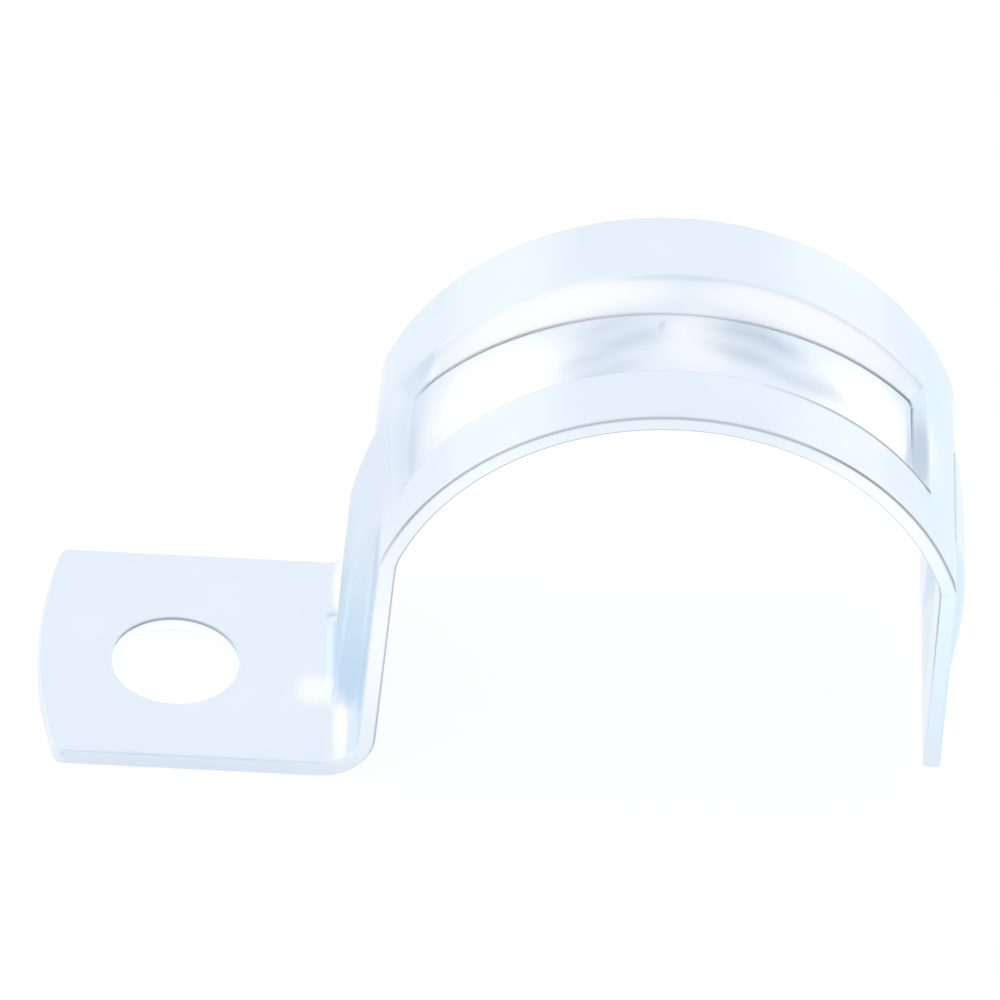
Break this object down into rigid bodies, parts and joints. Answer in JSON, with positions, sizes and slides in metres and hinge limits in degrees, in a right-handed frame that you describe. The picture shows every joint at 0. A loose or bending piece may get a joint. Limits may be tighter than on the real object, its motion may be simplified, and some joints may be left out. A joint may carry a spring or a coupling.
{
  "type": "one-hole conduit strap",
  "caption": "Pressed steel strap that holds a round conduit against a wall: an arch with an inner ridge, a short free leg and a flat tab with a screw hole.",
  "frame": {"origin": "middle of the screw hole on the underside of the tab, which lies on the mounting surface", "axes": "+X from the hole to the arch and the free leg, +Y along the conduit, +Z away from the mounting surface"},
  "size_m": [0.0523, 0.0175, 0.0283],
  "materials": {
    "zinc": "bright zinc plating, satin, with rounded sheared edges"
  },
  "bodies": {
    "root": {"strap": "zinc"}
  },
  "joints": []
}
